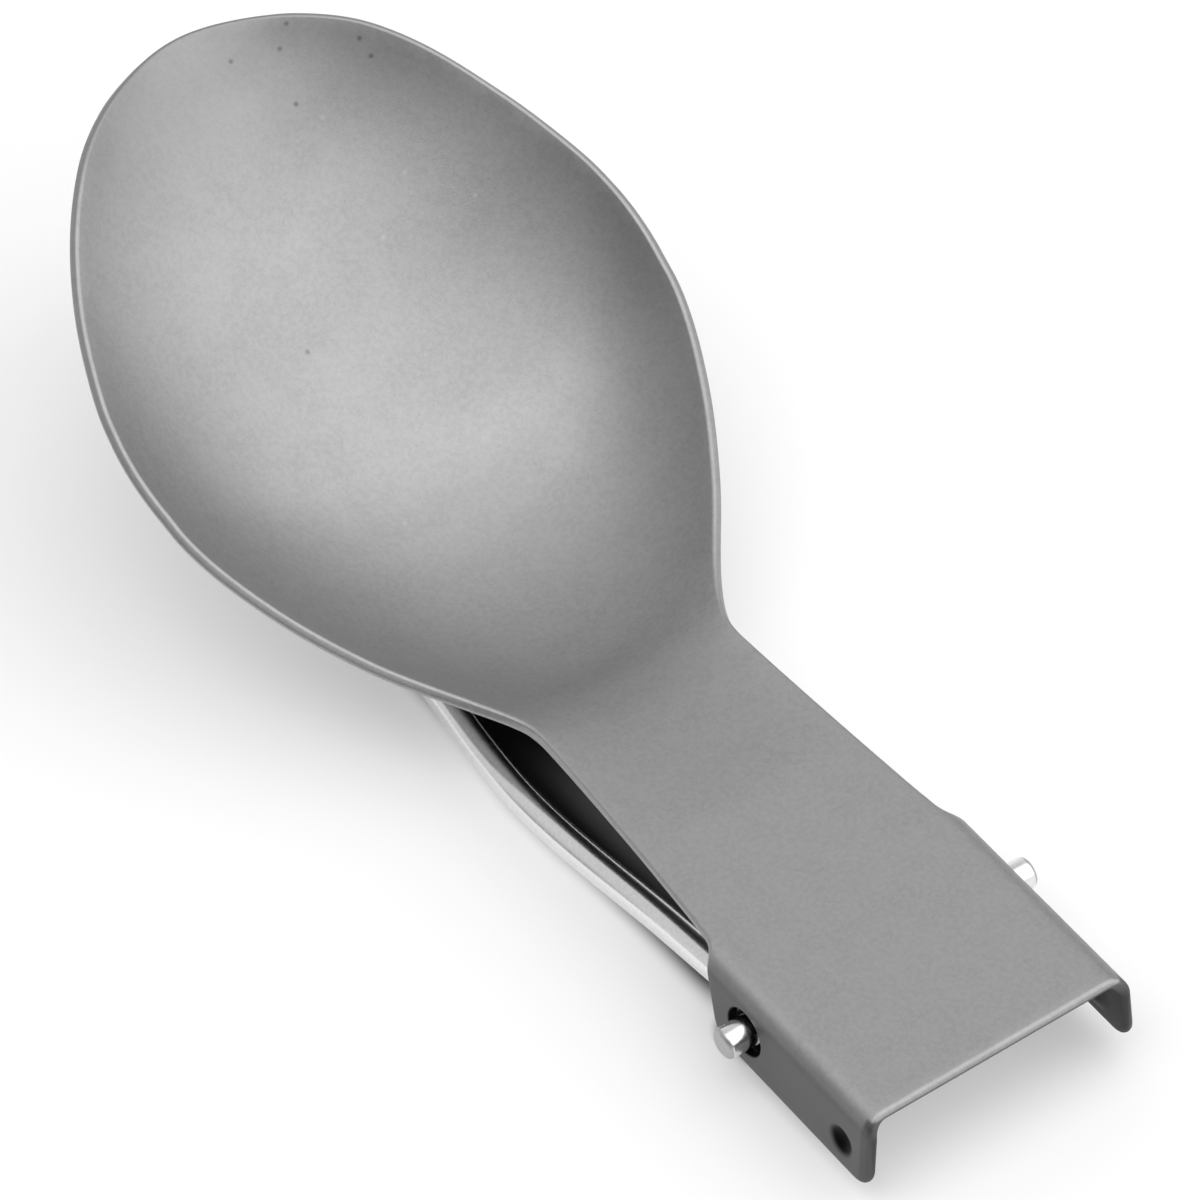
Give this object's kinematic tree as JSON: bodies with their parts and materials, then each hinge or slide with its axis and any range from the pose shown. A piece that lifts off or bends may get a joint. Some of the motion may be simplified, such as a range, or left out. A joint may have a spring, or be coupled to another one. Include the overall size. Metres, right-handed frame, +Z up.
{
  "type": "folding camping spoon",
  "caption": "Folding camping spoon of sheet titanium: a deep egg-shaped bowl on a flat neck, and a wire loop handle that folds under it on pins in the channelled tail.",
  "frame": {"origin": "middle of the folded spoon's length and width, on the surface that it rests on", "axes": "+X towards the tip of the bowl, +Y to the left, +Z up out of the bowl's hollow side"},
  "size_m": [0.0974, 0.0408, 0.0262],
  "materials": {
    "blasted_titanium": "bead-blasted, matt mid grey",
    "drawn_titanium": "drawn rod, satin"
  },
  "bodies": {
    "head": {"spoon_head": "blasted_titanium"},
    "handle": {"wire_handle": "drawn_titanium"}
  },
  "joints": [
    {"name": "handle_fold", "type": "hinge", "parent": "head", "child": "handle", "pos_m": [-0.0354, 0, 0.00429], "axis": [0, 1, 0], "range_deg": [0, 175]}
  ]
}
